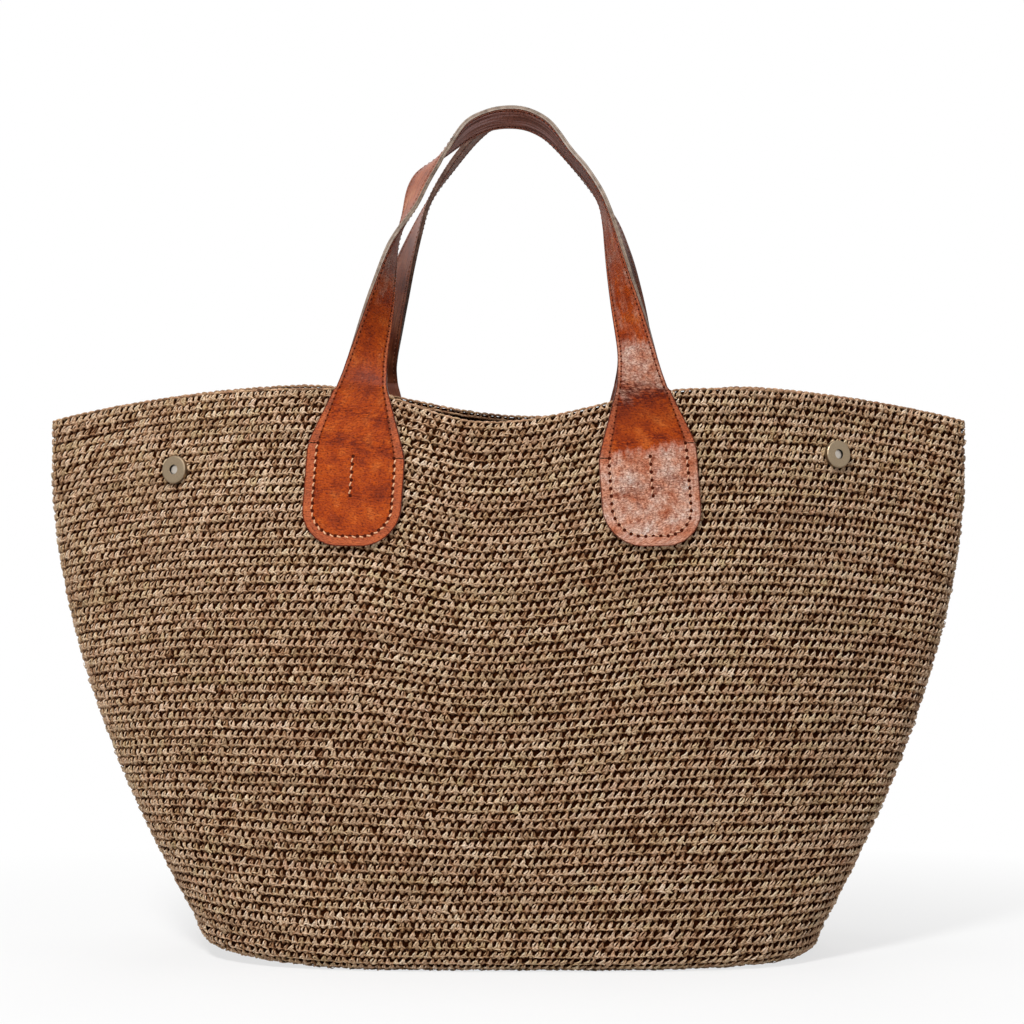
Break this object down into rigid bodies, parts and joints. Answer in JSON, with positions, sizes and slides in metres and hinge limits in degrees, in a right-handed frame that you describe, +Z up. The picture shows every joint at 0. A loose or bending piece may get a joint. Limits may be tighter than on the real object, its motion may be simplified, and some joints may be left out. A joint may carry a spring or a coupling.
{
  "type": "crocheted raffia basket bag",
  "caption": "Wide open basket of crocheted raffia that flares to pinched wings, with two leather strap handles on paddle tabs and magnetic snaps on the wings.",
  "frame": {"origin": "middle of the foot, on the floor", "axes": "+Z up; the front, with the snaps' socket halves, faces -Y; the wings point along +X and -X"},
  "size_m": [0.607, 0.2122, 0.562],
  "materials": {
    "raffia": "coarse crochet",
    "cognac_leather": "smooth waxed",
    "lining_leather": "dull",
    "brushed_nickel": "brushed",
    "plain_steel": "plain",
    "magnet": "dull"
  },
  "bodies": {
    "basket": {"back_left_inner_patch": "lining_leather", "back_left_snap_stud": "brushed_nickel", "back_left_snap_washer": "plain_steel", "back_left_tab": "cognac_leather", "back_right_inner_patch": "lining_leather", "back_right_snap_stud": "brushed_nickel", "back_right_snap_washer": "plain_steel", "back_right_tab": "cognac_leather", "basket_body": "raffia", "front_left_inner_patch": "lining_leather", "front_left_snap_case": "brushed_nickel", "front_left_snap_magnet": "magnet", "front_left_snap_plate": "plain_steel", "front_left_snap_washer": "plain_steel", "front_left_tab": "cognac_leather", "front_right_inner_patch": "lining_leather", "front_right_snap_case": "brushed_nickel", "front_right_snap_magnet": "magnet", "front_right_snap_plate": "plain_steel", "front_right_snap_washer": "plain_steel", "front_right_tab": "cognac_leather"},
    "front_handle": {"front_handle_leather": "cognac_leather", "front_handle_lining": "lining_leather"},
    "back_handle": {"back_handle_leather": "cognac_leather", "back_handle_lining": "lining_leather"}
  },
  "joints": [
    {"name": "front_handle_hinge", "type": "hinge", "parent": "basket", "child": "front_handle", "pos_m": [0, -0.10243, 0.377], "axis": [1, 0, 0], "range_deg": [0, 170]},
    {"name": "back_handle_hinge", "type": "hinge", "parent": "basket", "child": "back_handle", "pos_m": [0, 0.10194, 0.377], "axis": [-1, 0, 0], "range_deg": [0, 170]}
  ]
}
